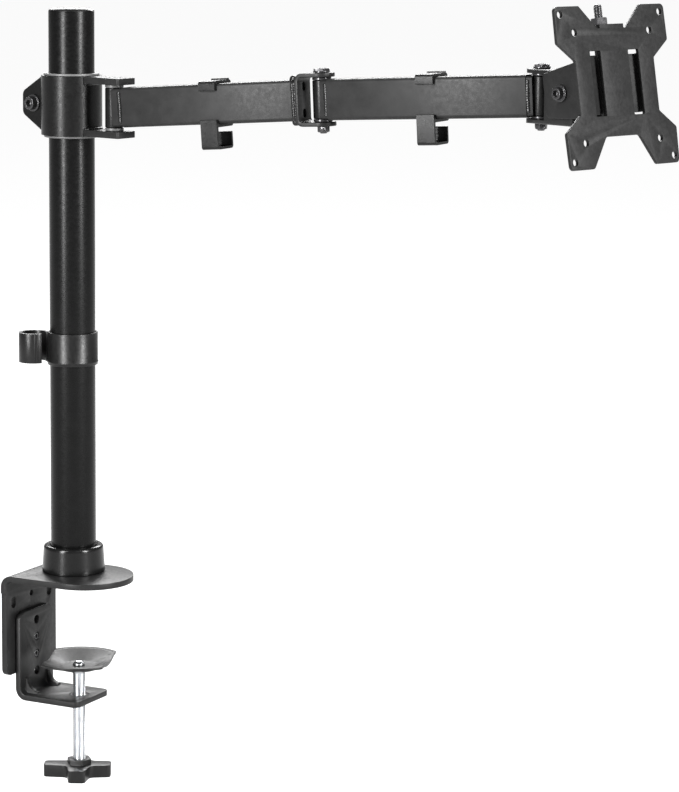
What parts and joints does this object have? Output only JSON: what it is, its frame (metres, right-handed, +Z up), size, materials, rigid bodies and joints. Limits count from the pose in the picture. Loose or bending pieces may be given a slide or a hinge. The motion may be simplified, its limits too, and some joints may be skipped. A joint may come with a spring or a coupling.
{
  "type": "desk-clamp monitor arm",
  "caption": "Desk-clamp monitor arm: steel pole on a screw clamp, a sliding collar, two hinged box-tube arms with cable clips and a tilting, rotating mounting plate.",
  "frame": {"origin": "on the pole's axis, at the underside of the upper jaw that rests on the desk", "axes": "+Z up along the pole; +X from the clamp towards the desk, along the straight arms; the picture looks from -Y and +X"},
  "size_m": [0.5357, 0.1154, 0.6125],
  "materials": {
    "powder_coat": "satin black powder coat",
    "moulded": "fine-grained black moulding",
    "oxide": "black oxide",
    "zinc": "bright zinc plate",
    "nylon": "dark nylon"
  },
  "bodies": {
    "clamp_and_pole": {"upper_jaw_bracket": "powder_coat", "lower_jaw_bracket": "powder_coat", "jaw_bolt_upper": "oxide", "jaw_bolt_lower": "oxide", "clamp_threaded_bush": "oxide", "pole": "powder_coat", "pole_top_cap": "moulded", "pole_base_collar": "moulded", "pole_foot_plug": "oxide", "foot_screw_1": "oxide", "foot_screw_2": "oxide", "foot_screw_3": "oxide"},
    "pad": {"clamp_pad": "powder_coat"},
    "screw": {"clamp_screw": "zinc", "clamp_knob": "moulded"},
    "pole_clip": {"pole_cable_clip": "moulded"},
    "liner": {"collar_liner": "nylon"},
    "collar": {"collar_band": "powder_coat", "shoulder_lug_upper": "powder_coat", "shoulder_lug_lower": "powder_coat", "shoulder_pin": "oxide", "shoulder_washer_upper": "nylon", "shoulder_washer_lower": "nylon", "collar_clamp_bolt": "oxide", "collar_clamp_nut": "oxide"},
    "arm_1": {"arm1_shoulder_barrel": "powder_coat", "arm1_tube": "powder_coat", "arm1_cable_clip": "moulded", "arm1_elbow_yoke": "powder_coat", "elbow_bolt": "oxide", "elbow_nut": "oxide", "elbow_washer_upper": "nylon", "elbow_washer_lower": "nylon"},
    "arm_2": {"arm2_elbow_barrel": "powder_coat", "arm2_tube": "powder_coat", "arm2_cable_clip": "moulded", "arm2_wrist_barrel": "powder_coat"},
    "head": {"wrist_yoke": "powder_coat", "wrist_bolt": "oxide", "wrist_nut": "oxide", "wrist_washer_upper": "nylon", "wrist_washer_lower": "nylon"},
    "tilt_head": {"tilt_bracket": "powder_coat", "tilt_bolt": "oxide", "tilt_nut": "oxide", "rotation_bolt": "oxide", "rotation_nut": "oxide", "rotation_washer": "nylon"},
    "plate": {"rotation_adapter_plate": "powder_coat", "vesa_plate": "powder_coat", "plate_lock_bolt": "oxide", "plate_lock_nut": "oxide"}
  },
  "joints": [
    {"name": "screw_turn", "type": "hinge", "parent": "pad", "child": "screw", "pos_m": [0.0093, -0.0075, -0.1], "axis": [0, 0, 1], "range_deg": [-4330, 9610]},
    {"name": "pad_feed", "type": "slide", "parent": "clamp_and_pole", "child": "pad", "axis": [0, 0, 1], "range_m": [-0.018, 0.04]},
    {"name": "pole_clip_slide", "type": "slide", "parent": "clamp_and_pole", "child": "pole_clip", "axis": [0, 0, 1], "range_m": [-0.13, 0.005]},
    {"name": "collar_height", "type": "slide", "parent": "clamp_and_pole", "child": "liner", "axis": [0, 0, 1], "range_m": [-0.14, 0.04]},
    {"name": "collar_swivel", "type": "hinge", "parent": "liner", "child": "collar", "pos_m": [0, 0, 0.3676], "axis": [0, 0, 1], "range_deg": [-180, 180]},
    {"name": "shoulder", "type": "hinge", "parent": "collar", "child": "arm_1", "pos_m": [0.04328, -0.00794, 0.3676], "axis": [0, 0, 1], "range_deg": [-120, 100]},
    {"name": "elbow", "type": "hinge", "parent": "arm_1", "child": "arm_2", "pos_m": [0.22108, -0.00794, 0.3808], "axis": [-0.0471, 0, 0.9989], "range_deg": [-100, 100]},
    {"name": "wrist", "type": "hinge", "parent": "arm_2", "child": "head", "pos_m": [0.39468, -0.00794, 0.3902], "axis": [0, 0, 1], "range_deg": [-45, 85]},
    {"name": "tilt", "type": "hinge", "parent": "head", "child": "tilt_head", "pos_m": [0.42571, -0.01918, 0.3942], "axis": [-0.3404, -0.9403, 0], "range_deg": [-54.8, 35]},
    {"name": "plate_rotation", "type": "hinge", "parent": "tilt_head", "child": "plate", "pos_m": [0.4623, -0.03242, 0.40097], "axis": [0.9264, -0.3353, 0.1714], "range_deg": [-180, 180]}
  ],
  "couplings": [
    {"joint": "screw_turn", "follows": "pad_feed", "rad_per_m": 4188.8}
  ]
}
